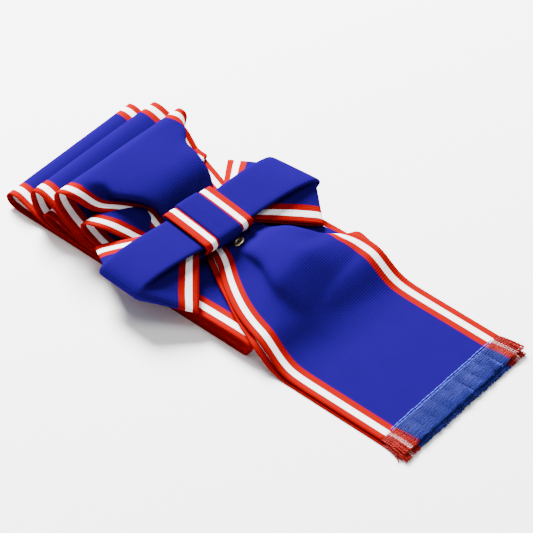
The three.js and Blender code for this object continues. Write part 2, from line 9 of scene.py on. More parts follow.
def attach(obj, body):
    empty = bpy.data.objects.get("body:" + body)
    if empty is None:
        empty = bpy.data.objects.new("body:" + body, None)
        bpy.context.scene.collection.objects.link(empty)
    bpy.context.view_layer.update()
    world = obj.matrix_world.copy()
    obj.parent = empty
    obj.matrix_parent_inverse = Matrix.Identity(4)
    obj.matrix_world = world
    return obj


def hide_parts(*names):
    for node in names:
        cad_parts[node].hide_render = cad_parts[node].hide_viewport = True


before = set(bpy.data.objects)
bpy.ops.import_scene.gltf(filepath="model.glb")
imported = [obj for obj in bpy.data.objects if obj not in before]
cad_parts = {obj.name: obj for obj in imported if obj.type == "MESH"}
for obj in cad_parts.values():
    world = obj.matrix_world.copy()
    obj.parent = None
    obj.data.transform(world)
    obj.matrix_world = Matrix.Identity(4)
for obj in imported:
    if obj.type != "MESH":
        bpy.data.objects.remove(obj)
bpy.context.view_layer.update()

# Sash of an order, laid down folded, dressed over its solids.
# The cloth is laid out in millimetres, in the solids' own frame, and made in metres.
MM = 0.001

ribbon_width = 100
solid_thick = 1.0
rest_gap = 0.3
layer_pitch = solid_thick + rest_gap
ribbon_thick = 0.55
border_thread_width = 3.9

far_fold_reach = 150
crest_height = 36
tail_reach = 124
tail_crest = 26
fringe_length = 17.5
lower_tail_longer = 2.5
lower_tail_forward = 1.5
stack_end = 30
stack_slope = 8
flat_tail_start = 60
lower_tail_lag = 5
loose_layers = 1.4
draw_start = 103
draw_full = 62
back_draw = 13

bow_centre_x = -39
bow_centre_y = -3
bow_half_span = 71
bow_height = 25
bow_turn = 6
bow_panel = 31
bow_margin = (ribbon_width - bow_panel) / 2
tuck_inside = 5
fold_drop = 2.6
corner_fold_gap = 0.8
knot_half_length = 18.4
knot_width = 34
knot_thick = 0.9

eyelet_outer = 3.4
eyelet_hole = 1.7
eyelet_thick = 1.2
eyelet_x = -18.7
eyelet_y = -1
eyelet_z = 19.2
eyelet_slope_x = 0.48
eyelet_slope_y = 0.3

shift = Vector((3.0, 3.1, 0))

# Spacing of the sections along each ribbon, and how finely each is divided across
loop_step = 2.2
loop_fine = 4
tail_step = 1.6
lower_tail_fine = 5
upper_tail_columns = 60
bow_step = 1.4
margin_columns = 22
panel_columns = 14
knot_step = 0.9
knot_column = 0.7

thread_count = 92
thread_radius = 0.36
deep_thread_radius = 0.85
thread_depth = 0.3
stray_count = 22
stray_radius = 0.13
crinkle_side = 0.17
crinkle_up = 0.12
crinkle_turn = 42
lock_round = 1.1
fringe_overlap = 0.6

stitch_length = 3.2
stitch_from_front = 9
stitch_from_back = 6
stitch_row_gap = 1.3
stitch_line_in = 1.6
stitch_lift = 0.32

rib_pitch = 1.2
rib_strength = 0.6
rib_depth = 0.15
# Pitch of the painted light on the fringe threads' crimp crests and the painted shade in their troughs
crimp_shading_pitch = 1.5


def layer(n):
    """Height of the middle of layer n of the folded stack, above the table."""
    return solid_thick / 2 + n * layer_pitch


stack_top = layer(7)

# Folded loop, from the upper end at the knot round to the lower end at the knot.
# x: share of the far fold's reach, z: share of the crest height, or a layer of the stack
loop_rows = [
    dict(x=-0.335, z=0.435, front=-0.34, gather=1.0, far_gather=1.0, press=0.40),
    dict(x=-0.380, z=0.445, front=-0.36, gather=1.0, far_gather=1.0, press=0.42),
    dict(x=-0.408, z=0.540, front=-0.38, gather=1.0, far_gather=1.0, press=0.58),
    dict(x=-0.450, z=0.745, front=-0.44, gather=0.92, far_gather=0.92),
    dict(x=-0.500, z=0.850, front=-0.52, gather=0.74, far_gather=0.72),
    dict(x=-0.560, z=0.920, back=0.9, front=-0.68, gather=0.42, far_gather=0.46),
    dict(x=-0.620, z=0.965, back=0.84, front=-0.86, gather=0.18, far_gather=0.25),
    dict(x=-0.670, z=0.990, back=0.8, front=-0.97, far_gather=0.11),
    dict(x=-0.707, z=1.000, back=0.78, far_gather=0.03),
    dict(x=-0.733, z=0.940, back=0.78),
    dict(x=-0.742, z=0.810, back=0.8),
    dict(x=-0.725, z=0.640, back=0.84),
    dict(x=-0.675, z=0.450, back=0.9),
    dict(x=-0.610, z=0.315, back=0.95),
    dict(x=-0.540, z=0.246),
    dict(x=-0.460, layer=6),
    dict(x=-0.100, layer=6),
    dict(x=0.205, layer=6, swing=0.05),
    dict(x=0.211, layer=5.5, swing=0.05),
    dict(x=0.205, layer=5, swing=0.05),
    dict(x=-0.100, layer=5),
    dict(x=-0.520, layer=5),
    dict(x=-0.590, z=0.215),
    dict(x=-0.650, z=0.300),
    dict(x=-0.715, z=0.460),
    dict(x=-0.775, z=0.620, back=0.92),
    dict(x=-0.825, z=0.690, back=0.9),
    dict(x=-0.857, z=0.660, back=0.9),
    dict(x=-0.868, z=0.540, back=0.92),
    dict(x=-0.857, z=0.340),
    dict(x=-0.833, z=0.180),
    dict(x=-0.795, z=0.110),
    dict(x=-0.730, layer=2),
    dict(x=-0.100, layer=2),
    dict(x=0.185, layer=2, swing=0.03),
    dict(x=0.191, layer=1.5, swing=0.03),
    dict(x=0.185, layer=1, swing=0.03),
    dict(x=-0.100, layer=1),
    dict(x=-0.740, layer=1),
    dict(x=-0.820, z=0.105),
    dict(x=-0.900, z=0.220),
    dict(x=-0.955, z=0.295),
    dict(x=-0.990, z=0.260),
    dict(x=-1.000, z=0.160),
    dict(x=-0.985, z=0.065),
    dict(x=-0.945, z=0.020),
    dict(x=-0.880, layer=0),
    dict(x=-0.100, layer=0),
    dict(x=0.185, layer=0, swing=0.03),
    dict(x=0.204, layer=1.5, swing=0.03),
    dict(x=0.185, layer=3, swing=0.03),
    dict(x=-0.100, layer=3),
    dict(x=-0.720, layer=3),
    dict(x=-0.775, z=0.175),
    dict(x=-0.805, z=0.265),
    dict(x=-0.785, z=0.345),
    dict(x=-0.740, z=0.330),
    dict(x=-0.670, z=0.235),
    dict(x=-0.590, z=0.172),
    dict(x=-0.520, layer=4),
    dict(x=-0.100, layer=4),
    dict(x=0.205, layer=4, swing=0.05),
    dict(x=0.224, layer=5.5, swing=0.05),
    dict(x=0.205, layer=7, swing=0.05),
    dict(x=-0.100, layer=7),
    dict(x=-0.440, layer=7),
    dict(x=-0.510, z=0.305, back=0.15),
    dict(x=-0.565, z=0.385, back=0.15),
    dict(x=-0.605, z=0.490, back=0.15),
    dict(x=-0.610, z=0.600, back=0.15),
    dict(x=-0.580, z=0.670, back=0.15),
    dict(x=-0.530, z=0.660, back=0.2, front=-0.92, gather=0.08),
    dict(x=-0.480, z=0.530, back=0.4, front=-0.82, gather=0.35),
    dict(x=-0.440, z=0.395, back=0.8, front=-0.70, gather=0.75),
    dict(x=-0.405, z=0.345, front=-0.62, gather=1),
]

# Gathers, from the front edge to the back edge: flat and drawn shares of the ribbon width,
# the turn in degrees, the share of the gather that completes the turn, and the columns.
upper_gather = [
    dict(flat=0.120, drawn=0.120, turn=10, settle=0.4, columns=1),
    dict(flat=0.030, drawn=0.050, turn=150, settle=0.4, columns=2),
    dict(flat=0.015, drawn=0.040, turn=0, settle=0.4, columns=1),
    dict(flat=0.045, drawn=0.080, turn=-155, settle=0.4, columns=2),
    dict(flat=0.335, drawn=0.180, turn=-6, settle=0.4, columns=2),
    dict(far=True, flat=0.335, drawn=0.180, turn=-8, settle=0.3, columns=1),
    dict(far=True, flat=0.080, drawn=0.100, turn=-150, settle=0.3, columns=2),
    dict(far=True, flat=0.040, drawn=0.250, turn=-8, settle=0.3, columns=1),
]
tuck_gather = [
    dict(flat=0.120, drawn=0.120, turn=0, settle=1, columns=2),
    dict(flat=0.330, drawn=0.200, turn=0, settle=1, columns=3),
    dict(flat=0.460, drawn=0.230, turn=0, settle=1, columns=3),
    dict(flat=0.026, drawn=0.026, turn=-178, settle=0.2, columns=3),
    dict(flat=0.064, drawn=0.424, turn=0, settle=1, columns=1),
]

# Tails, from under the bow out to the stitch line.
# x: share of the tail's reach, z: share of the tail's crest, or a layer above the table
# Upper tail, as shares of the half width: its front edge, the valley behind the front border, the
# lip of the hump and the fold or edge at the back. hollow: how far the hump's front is cut in
# under its lip, sag: how far the back hangs below the top, both in mm
upper_tail_rows = [
    dict(x=-0.230, z=0.600, front=-0.28, valley=-0.22, lip=-0.16, fold=0.40),
    dict(x=-0.190, z=0.605, front=-0.31, valley=-0.24, lip=-0.17, fold=0.47, hollow=1, sag=0.5),
    dict(x=-0.150, z=0.670, front=-0.37, valley=-0.26, lip=-0.16, fold=0.46, hollow=2, sag=1),
    dict(x=-0.110, z=0.770, front=-0.44, valley=-0.29, lip=-0.15, fold=0.42, hollow=3, sag=1),
    dict(x=-0.060, z=0.870, front=-0.54, valley=-0.31, lip=-0.15, fold=0.55, hollow=3, sag=1.5),
    dict(x=0.030, z=0.930, front=-0.69, valley=-0.34, lip=-0.17, fold=0.67, hollow=2.5, sag=4.5),
    dict(x=0.110, z=0.950, front=-0.79, valley=-0.42, lip=-0.26, fold=0.80, hollow=1, sag=10, swing=-0.04),
    dict(x=0.185, z=0.930, front=-0.86, valley=-0.58, lip=-0.32, fold=0.92, sag=12.5, swing=-0.08),
    dict(x=0.250, z=0.790, front=-0.90, valley=-0.68, lip=-0.32, fold=1.00, sag=11, swing=-0.10),
    dict(x=0.315, z=0.590, front=-0.94, valley=-0.74, lip=-0.30, fold=1.04, sag=8, swing=-0.10),
    dict(x=0.380, z=0.350, front=-0.97, valley=-0.76, lip=-0.30, fold=1.03, sag=4, swing=-0.08),
    dict(x=0.445, z=0.170, valley=-0.76, lip=-0.30, fold=1.00, sag=1.5, swing=-0.04),
    dict(x=0.510, z=0.085, valley=-0.76, lip=-0.30, fold=1.00),
    dict(x=0.590, layer=1, valley=-0.76, lip=-0.30, fold=1.00),
    dict(x=1.000, layer=1, valley=-0.76, lip=-0.30, fold=1.00),
]
lower_tail_rows = [
    dict(x=-0.230, z=0.485, front=-0.33, gather=0.90),
    dict(x=-0.065, z=0.485, front=-0.58, gather=0.60),
    dict(x=0.080, z=0.480, front=-0.785, gather=0.20),
    dict(x=0.160, z=0.455, front=-0.885, gather=0.04, swing=0.01),
    dict(x=0.225, z=0.430, front=-0.945, swing=0.04),
    dict(x=0.270, z=0.415, front=-1.00, swing=0.05),
    dict(x=0.317, z=0.310, front=-1.02, swing=0.05),
    dict(x=0.370, z=0.150, front=-1.03, swing=0.05),
    dict(x=0.425, z=0.050, front=-1.03, swing=0.03),
    dict(x=0.490, layer=0, front=-1.03),
    dict(x=0.600, layer=0, front=-1.03),
    dict(x=1.000, layer=0, front=-1.03),
]

# Bow ring, from the meeting point under the knot round both loops and back.
# y: share of the bow's half span, z: share of the bow height
# spread: how far the margins have left the knot for the bow's corners, over: 1 on the upper side
bow_rows = [
    dict(y=0.020, z=0.700),
    dict(y=0.280, z=0.690),
    dict(y=0.450, z=0.650, spread=0.20),
    dict(y=0.620, z=0.610, spread=0.45),
    dict(y=0.780, z=0.600, spread=0.72),
    dict(y=0.920, z=0.680, spread=0.94),
    dict(y=0.975, z=0.820, spread=1.00, over=0.5),
    dict(y=0.945, z=0.960, spread=0.96, over=1),
    dict(y=0.810, z=1.060, spread=0.80, over=1),
    dict(y=0.600, z=1.080, spread=0.51, over=1),
    dict(y=0.380, z=1.040, spread=0.20, over=1),
    dict(y=0.240, z=1.000, over=1),
    dict(y=-0.240, z=1.000, over=1),
    dict(y=-0.400, z=1.030, spread=0.22, over=1),
    dict(y=-0.610, z=1.050, spread=0.52, over=1),
    dict(y=-0.800, z=1.010, spread=0.78, over=1),
    dict(y=-0.910, z=0.920, spread=0.94, over=1),
    dict(y=-0.955, z=0.780, spread=1.00, over=0.5),
    dict(y=-0.930, z=0.640, spread=0.96),
    dict(y=-0.830, z=0.570, spread=0.80),
    dict(y=-0.660, z=0.600, spread=0.50),
    dict(y=-0.450, z=0.650, spread=0.20),
    dict(y=-0.280, z=0.690),
    dict(y=-0.020, z=0.700),
]

# The outer edge of the ribbon at the bow's four corners, in the bow's own frame.
# side: -1 towards the loop, end: -1 towards the front
# x: share of half the ribbon width, y and short: shares of the bow's half span,
# z: share of the bow height, panel: share of the flat middle's width at the knot
bow_corners = [
    dict(side=-1, end=-1, x=-0.704, y=-0.7634, z=0.560, panel=1.000),
    dict(side=1, end=-1, x=0.830, y=-0.6268, z=0.464, panel=1.000, short=0.0282),
    dict(side=-1, end=1, x=-0.740, y=0.6817, z=0.560, panel=1.000, short=0.0986),
    dict(side=1, end=1, x=0.806, y=0.7113, z=0.600, panel=1.194),
]

# The same edge where it leaves the knot; x: share of the knot's half length,
# y: share of half the knot width, z: share of the bow height
bow_edge_at_knot = [
    dict(side=1, end=-1, over=1, x=0.6196, y=-1.0471, z=0.852),
    dict(side=1, end=-1, over=0, x=0.5978, y=-1.0000, z=0.784),
    dict(side=1, end=1, over=1, x=0.6630, y=1.1176, z=0.852),
    dict(side=1, end=1, over=0, x=0.6413, y=1.0882, z=0.784),
    dict(side=-1, end=-1, over=1, x=-0.5707, y=-1.0941, z=0.840),
    dict(side=-1, end=-1, over=0, x=-0.5163, y=-0.9706, z=0.784),
    dict(side=-1, end=1, over=1, x=-0.5707, y=1.0941, z=0.840),
    dict(side=-1, end=1, over=0, x=-0.5163, y=0.9706, z=0.784),
]

# Knot band; x: share of its half length, z: share of the bow height
knot_rows = [
    dict(x=-1.000, z=0.960),
    dict(x=-0.985, z=1.020),
    dict(x=-0.930, z=1.060),
    dict(x=-0.600, z=1.075),
    dict(x=0.000, z=1.080),
    dict(x=0.600, z=1.075),
    dict(x=0.900, z=1.055),
    dict(x=0.965, z=0.985),
    dict(x=0.930, z=0.880),
    dict(x=0.860, z=0.790),
]

# Knot band from its front edge to its back edge: y in mm, the height above its margins in mm,
# and the place on the ribbon's width that shows there.
knot_section = [
    dict(y=-17.0, up=-0.6, across=0.000),
    dict(y=-16.6, up=0.0, across=0.004),
    dict(y=-12.9, up=0.1, across=0.039),
    dict(y=-9.6, up=0.0, across=0.078),
    dict(y=-8.0, up=0.0, across=0.098),
    dict(y=-7.9, up=0.5, across=0.200),
    dict(y=-7.4, up=0.9, across=0.210),
    dict(y=0.0, up=1.1, across=0.500),
    dict(y=7.4, up=0.9, across=0.790),
    dict(y=7.9, up=0.5, across=0.800),
    dict(y=8.0, up=0.0, across=0.902),
    dict(y=9.6, up=0.0, across=0.922),
    dict(y=12.9, up=0.1, across=0.961),
    dict(y=16.6, up=0.0, across=0.996),
    dict(y=17.0, up=-0.6, across=1.000),
]

plain_values = dict(
    front=-1, swing=0, gather=0, far_gather=0, press=1, back=1, spread=0, over=0,
    valley=-1, lip=-1, fold=1, hollow=0, sag=0)


def mix(a, b, t):
    return a + (b - a) * t


def ease(t):
    c = min(1.0, max(0.0, t))
    return c * c * (3 - 2 * c)


def row_height(row, crest):
    """Height of a row: a layer of the stack, or a share of the crest height."""
    return layer(row["layer"]) if "layer" in row else row["z"] * crest


def smooth_curve(points):
    """The same smooth curve through points that the solids follow, as (point, tangent) at a place."""
    ahead = points[0] * 2 - points[1]
    beyond = points[-1] * 2 - points[-2]
    padded = [ahead] + points + [beyond]
    pieces = []
    for a, b, c, d in zip(padded, padded[1:], padded[2:], padded[3:]):
        t0 = (b - a).length ** 0.5
        t1 = (c - b).length ** 0.5
        t2 = (d - c).length ** 0.5
        start = ((b - a) / t0 - (c - a) / (t0 + t1) + (c - b) / t1) * t1
        end = ((c - b) / t1 - (d - b) / (t1 + t2) + (d - c) / t2) * t1
        pieces.append((b, start, b * -3 + c * 3 - start * 2 - end, b * 2 - c * 2 + start + end))

    def at(place):
        index = min(int(place), len(pieces) - 1)
        t = place - index
        p, v, w, q = pieces[index]
        return p + v * t + w * t * t + q * t ** 3, (v + w * 2 * t + q * 3 * t * t).normalized()

    return at


def stations_along(rows, to_point, spacing):
    """Sections along a path, about one each spacing, with each row's values carried smoothly."""
    points = [to_point(r) for r in rows]
    curve = smooth_curve(points)
    stations = []
    last = len(rows) - 1
    for i in range(last):
        reach = (points[i + 1] - points[i]).length
        steps = max(2, min(60, math.ceil(reach / spacing)))
        for k in range(steps + (1 if i == last - 1 else 0)):
            share = k / steps
            point, tangent = curve(i + share)
            station = dict(point=point, tangent=tangent, place=(i + share) / last)
            for key, plain in plain_values.items():
                station[key] = mix(rows[i].get(key, plain), rows[i + 1].get(key, plain), share)
            stations.append(station)
    for key in plain_values:
        for _ in range(4):
            row = [s[key] for s in stations]
            for s, a, b, c in zip(stations[1:-1], row, row[1:], row[2:]):
                s[key] = (a + 2 * b + c) / 4
    return stations


def ribbon_section(parts, station, hold, fine):
    """Arc-by-arc section of the gathered ribbon: (across, up, share of the ribbon's width)."""
    across, up, angle, share = 0.0, 0.0, 0.0, 0.0
    points = [(across, up, angle, share)]
    for p in parts:
        gather = station["far_gather"] if p.get("far") else station["gather"]
        length = mix(p["flat"], p["drawn"], gather) * ribbon_width
        turned = p["turn"] * ease(gather / p["settle"])
        count = p["columns"] * fine
        half = math.radians(turned) / count / 2
        chord = length / count * (math.sin(half) / half if half else 1)
        for _ in range(count):
            angle += half
            across += chord * math.cos(angle)
            up += chord * math.sin(angle)
            angle += half
            share += length / count / ribbon_width
            points.append((across, up, angle, share))
    held = points[hold * fine]
    c = math.cos(-held[2])
    s = math.sin(-held[2])
    section = []
    for across, up, angle, share in points:
        a = across - held[0]
        u = up - held[1]
        section.append((a * c - u * s, a * s + u * c, share / points[-1][3]))
    return section


def drawn_to_knot(x, z):
    """How far the back edges of the stack are drawn in where the bow ties them down."""
    nearing = min(1, max(0, (x + draw_start) / (draw_start - draw_full)))
    leaving = ease((x + draw_full) / draw_full)
    return back_draw * nearing * (1 - leaving) * ease((crest_height * 0.6 - z) / (crest_height * 0.3))


def ribbon_along_x(stations, gather_at, rest_under, fine, draw_in=lambda x, z: 0):
    """Grid of (place, share of the width) of a ribbon that runs along X."""
    grid = []
    for s in stations:
        parts, hold, facing = gather_at(s)
        section = ribbon_section(parts, s, hold, fine)
        front_y = s["front"] * ribbon_width / 2
        up_x = -s["tangent"].z * facing
        up_z = s["tangent"].x * facing
        line = []
        for across, up, share in section:
            y = front_y + across - section[0][0]
            back_share = y / ribbon_width + 0.5
            h = up * s["press"]
            x = s["point"].x + up_x * h + s["swing"] * back_share * ribbon_width
            z = max(s["point"].z + up_z * h, rest_under(x, back_share))
            if s["back"] < 0.999:
                z = stack_top + (z - stack_top) * mix(1, s["back"], back_share)
            y -= draw_in(x, z) * max(0, back_share)
            line.append((Vector((x, y, z)), share))
        grid.append(line)
    return grid


def relaxed(grid, passes, hold_edges=True, last=None):
    """The same cloth with its sharp places eased, as ribbon lies."""
    places = [[p for p, _ in line] for line in grid]
    for _ in range(passes):
        fresh = [[p.copy() for p in line] for line in places]
        for i in range(1, (last or len(places)) - 1):
            for j in range(len(places[0])):
                ahead = places[i - 1][j] + places[i + 1][j]
                if 0 < j < len(places[0]) - 1:
                    ahead += places[i][j - 1] + places[i][j + 1]
                    fresh[i][j] = places[i][j].lerp(ahead / 4, 0.5)
                elif not hold_edges:
                    fresh[i][j] = places[i][j].lerp(ahead / 2, 0.5)
        places = fresh
    return [[(p, share) for p, (_, share) in zip(new, line)] for new, line in zip(places, grid)]


def places_between(corners, shares, corner_shares=None):
    """Places at the given shares of the way along a line through corners."""
    if corner_shares is None:
        lengths = [0.0]
        for p, q in zip(corners, corners[1:]):
            lengths.append(lengths[-1] + (q - p).length)
        corner_shares = [length / lengths[-1] for length in lengths]
    found = []
    i = 1
    for share in shares:
        while i < len(corners) - 1 and corner_shares[i] < share:
            i += 1
        reach = corner_shares[i] - corner_shares[i - 1]
        t = (share - corner_shares[i - 1]) / reach if reach > 0 else 1
        found.append(corners[i - 1].lerp(corners[i], min(1, max(0, t))))
    return found


def shifted(grid, turn=None, centre=None):
    """Puts a grid at its place in the solids' frame, turned about the upright first if asked."""
    placed = []
    for line in grid:
        row = []
        for p, share in line:
            q = turn @ p + centre if turn else p
            row.append((q + shift, share))
        placed.append(row)
    return placed


def piece_from(bm, name):
    """A piece at the origin, made from a finished bmesh."""
    mesh = bpy.data.meshes.new(name)
    bm.to_mesh(mesh)
    bm.free()
    piece = bpy.data.objects.new(name, mesh)
    bpy.context.collection.objects.link(piece)
    return piece


def cloth_mesh(name, grid, thick):
    """A ribbon: a grid of faces laid on the given places, with its wall given by Solidify.

    Its UV map holds the share of the width, and the length along the ribbon in ribbon widths.
    """
    rows = len(grid) - 1
    columns = len(grid[0]) - 1
    lengths = [0.0]
    for a, b in zip(grid, grid[1:]):
        step = sum((q[0] - p[0]).length for p, q in zip(a, b)) / (columns + 1)
        lengths.append(lengths[-1] + step)
    bm = bmesh.new()
    bmesh.ops.create_grid(bm, x_segments=rows, y_segments=columns, size=0.5)
    cloth_uv = bm.loops.layers.uv.new("cloth")
    places = {}
    for v in bm.verts:
        i = round((v.co.x + 0.5) * rows)
        j = round((v.co.y + 0.5) * columns)
        places[v] = (i, j)
        v.co = grid[i][j][0] * MM
    for face in bm.faces:
        face.smooth = True
        for corner in face.loops:
            i, j = places[corner.vert]
            corner[cloth_uv].uv = (grid[i][j][1], lengths[i] / ribbon_width)
    piece = piece_from(bm, name)
    wall = piece.modifiers.new("wall", "SOLIDIFY")
    wall.thickness = thick * MM
    wall.offset = 0
    return piece


def finished(piece, node, material):
    """Gives a piece its material and its body, and hides the node that it stands for."""
    piece.data.materials.clear()
    piece.data.materials.append(material)
    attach(piece, "root")
    if node:
        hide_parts(node)


# Materials

def linear(r, g, b):
    """A colour given in the usual 0 to 255 values."""
    def one(c):
        c = c / 255
        return c / 12.92 if c <= 0.04045 else ((c + 0.055) / 1.055) ** 2.4
    return (one(r), one(g), one(b), 1)


ribbon_blue = (0.0075, 0.0003, 0.080, 1)
border_red = (0.215, 0.0007, 0.0006, 1)
border_white = (0.90, 0.86, 0.90, 1)
fringe_blue = (0.022, 0.030, 0.27, 1)
fringe_red = (0.42, 0.010, 0.008, 1)
fringe_white = (0.80, 0.35, 0.35, 1)


class Recipe:
    """The nodes of one material."""

    def __init__(self, name, roughness, specular=0.5):
        self.material = bpy.data.materials.new(name)
        self.material.use_nodes = True
        self.tree = self.material.node_tree
        self.shader = self.tree.nodes["Principled BSDF"]
        self.shader.inputs["Roughness"].default_value = roughness
        self.shader.inputs["Specular IOR Level"].default_value = specular

    def node(self, kind, **settings):
        made = self.tree.nodes.new(kind)
        for key, value in settings.items():
            setattr(made, key, value)
        return made

    def join(self, source, target):
        self.tree.links.new(source, target)

    def maths(self, operation, a, b=None):
        made = self.node("ShaderNodeMath", operation=operation)
        for socket, value in zip(made.inputs, (a, b)):
            if value is None:
                continue
            if isinstance(value, (int, float)):
                socket.default_value = value
            else:
                self.join(value, socket)
        return made.outputs[0]

    def waves(self, along, pitch):
        """Ribs of the given pitch in mm, from -1 to 1, along a share of the ribbon's width."""
        return self.maths("SINE", self.maths("MULTIPLY", along, math.tau * ribbon_width / pitch))

    def cloth_places(self):
        """The cloth's UV map, and its two parts: the place on the width and along the ribbon."""
        uv = self.node("ShaderNodeUVMap", uv_map="cloth").outputs[0]
        parts = self.node("ShaderNodeSeparateXYZ")
        self.join(uv, parts.inputs[0])
        return uv, parts.outputs[0], parts.outputs[1]

    def distance_from_edge(self, across):
        """Twice the distance from the nearer edge, as a share of the width."""
        from_middle = self.maths("SUBTRACT", self.maths("MULTIPLY", across, 2.0), 1.0)
        return self.maths("SUBTRACT", 1.0, self.maths("ABSOLUTE", from_middle))

    def ramp(self, share, stops):
        made = self.node("ShaderNodeValToRGB")
        steps = made.color_ramp.elements
        while len(steps) < len(stops):
            steps.new(0.5)
        for step, (place, colour) in zip(steps, stops):
            step.position = place
            step.color = colour
        self.join(share, made.inputs[0])
        return made.outputs[0]

    def noise(self, vector, scale, detail=2.0):
        made = self.node("ShaderNodeTexNoise")
        made.inputs["Scale"].default_value = scale
        made.inputs["Detail"].default_value = detail
        self.join(vector, made.inputs["Vector"])
        return made.outputs["Fac"]

    def paint(self, colour, shade):
        """Base colour, made darker or paler by a shade."""
        tone = self.node("ShaderNodeVectorMath", operation="SCALE")
        self.join(colour, tone.inputs[0])
        self.join(shade, tone.inputs["Scale"])
        self.join(tone.outputs[0], self.shader.inputs["Base Color"])

    def mottle(self, scale, detail, one, other):
        """Base colour that wanders between two. Returns the share of the second."""
        place = self.node("ShaderNodeTexCoord").outputs["Object"]
        share = self.noise(place, scale, detail)
        made = self.node("ShaderNodeMix", data_type="RGBA")
        self.join(share, made.inputs[0])
        made.inputs[6].default_value = one
        made.inputs[7].default_value = other
        self.join(made.outputs[2], self.shader.inputs["Base Color"])
        return share


def stripe_stops(blue, red, white, white_share=1.0):
    """Red, white and red border threads, then the blue middle, by distance from the edge."""
    width = border_thread_width / ribbon_width * 2
    white_from = width * (1.5 - white_share / 2)
    white_to = width * (1.5 + white_share / 2)
    soft = 0.0015
    return [
        (0.0, red),
        (white_from - soft, red),
        (white_from + soft, white),
        (white_to - soft, white),
        (white_to + soft, red),
        (3 * width - soft, red),
        (3 * width + soft, blue),
    ]


def ribbed_ribbon(name):
    """Grosgrain: striped borders, fine ribs across the width, and no shine."""
    r = Recipe(name, 0.58, 0.0)
    uv, across, along = r.cloth_places()
    ribs = r.waves(along, rib_pitch)
    threads = r.waves(across, rib_pitch)
    wander = r.maths("MULTIPLY", r.maths("SUBTRACT", r.noise(uv, 240.0, 1.0), 0.5), 0.006)
    edge = r.maths("ADD", r.distance_from_edge(across), wander)
    cloudy = r.maths("ADD", 0.93, r.maths("MULTIPLY", r.noise(uv, 6.0, 3.0), 0.12))
    shade = r.maths("ADD", cloudy, r.maths("MULTIPLY", r.maths("ADD", ribs, threads), 0.05))
    r.paint(r.ramp(edge, stripe_stops(ribbon_blue, border_red, border_white)), shade)
    relief = r.maths("ADD", r.maths("MULTIPLY", ribs, 0.6), r.maths("MULTIPLY", threads, 0.4))
    bump = r.node("ShaderNodeBump")
    bump.inputs["Strength"].default_value = rib_strength
    bump.inputs["Distance"].default_value = rib_depth * MM
    r.join(relief, bump.inputs["Height"])
    r.join(bump.outputs[0], r.shader.inputs["Normal"])
    worn = r.maths("ADD", 0.52, r.maths("MULTIPLY", r.noise(uv, 30.0, 2.0), 0.12))
    r.join(worn, r.shader.inputs["Roughness"])
    return r.material


def frayed_threads(name):
    """Loose threads of the fringe, coloured by where they leave the ribbon, with painted light and shade
    along their crimps.
    """
    r = Recipe(name, 0.55, 0.06)
    uv, across, along = r.cloth_places()
    stripes = stripe_stops(fringe_blue, fringe_red, fringe_white, 0.5)
    colour = r.ramp(r.distance_from_edge(across), stripes)
    streak = r.noise(uv, 160.0, 2.0)
    drift = r.maths("MULTIPLY", r.noise(uv, 14.0, 1.0), 8.0)
    wander = r.maths("ADD", drift, r.maths("MULTIPLY", streak, 7.0))
    # Painted light on the crimps' crests and painted shade in the troughs between them
    turns = r.maths("MULTIPLY", along, math.tau * ribbon_width / crimp_shading_pitch)
    crimp_light_and_shade = r.maths("SINE", r.maths("ADD", turns, wander))
    lit = r.maths("MULTIPLY", r.maths("ADD", crimp_light_and_shade, 1.0), 0.45)
    shade = r.maths("ADD", -0.05, r.maths("ADD", lit, r.maths("MULTIPLY", streak, 0.4)))
    r.paint(colour, shade)
    return r.material


def stitch_thread(name):
    """Pale blue sewing thread."""
    r = Recipe(name, 0.6, 0.05)
    r.mottle(2500.0, 1.0, linear(45, 60, 165), linear(75, 95, 205))
    return r.material


def gilt(name):
    """Gilt of the little ring, a bit rubbed."""
    r = Recipe(name, 0.3)
    rubbed = r.mottle(900.0, 2.0, linear(214, 186, 120), linear(240, 226, 176))
    r.join(r.maths("ADD", 0.2, r.maths("MULTIPLY", rubbed, 0.2)), r.shader.inputs["Roughness"])
    r.shader.inputs["Metallic"].default_value = 1.0
    return r.material


def hole_shade_paint(name):
    """Painted shade for the shaded inside of the ring, a near-black mottle."""
    r = Recipe(name, 0.9)
    r.mottle(1500.0, 2.0, linear(8, 8, 22), linear(16, 16, 40))
    return r.material


def pale_floor(name):
    """Matt near-white paper."""
    r = Recipe(name, 0.8, 0.1)
    r.mottle(3.0, 2.0, linear(246, 246, 248), linear(250, 250, 251))
    return r.material


ribbon_cloth = ribbed_ribbon("ribbed_ribbon")
fringe_cloth = frayed_threads("frayed_threads")


# Folded loop

def loop_grid():
    """The loop, gathered at its two ends under the knot and flat between them."""
    def place(r):
        return Vector((r["x"] * far_fold_reach, 0, row_height(r, crest_height)))

    def gather_at(s):
        return (upper_gather, 8, -1) if s["place"] < 0.5 else (tuck_gather, 5, 1)

    stations = stations_along(loop_rows, place, loop_step)
    grid = ribbon_along_x(stations, gather_at, lambda x, b: layer(0), loop_fine, drawn_to_knot)
    return relaxed(grid, 8, False, last=32)


sash_loop = cloth_mesh("sash_loop_cloth", shifted(loop_grid()), ribbon_thick)
finished(sash_loop, "sash_loop", ribbon_cloth)


# Tails

def tail_stations(rows, reach):
    """Sections along a tail of the given reach."""
    def place(r):
        return Vector((r["x"] * reach, 0, row_height(r, tail_crest)))

    return stations_along(rows, place, tail_step)


lower_reach = tail_reach + lower_tail_longer
lower_stations = tail_stations(lower_tail_rows, lower_reach)


def lower_height(x):
    """Height of the middle of the lower tail at x."""
    for a, b in zip(lower_stations, lower_stations[1:]):
        if a["point"].x <= x <= b["point"].x:
            share = (x - a["point"].x) / (b["point"].x - a["point"].x)
            return mix(a["point"].z, b["point"].z, share)
    return lower_stations[0 if x < 0 else -1]["point"].z


def rest_on_lower(x, back_share):
    """Lowest height of the upper tail: loosely on the lower one, closer where both lie flat."""
    flat = ease((x - flat_tail_start + 15) / 30)
    raised = mix(loose_layers, 1, flat) * layer_pitch
    return lower_height(x - back_share * lower_tail_lag) + raised


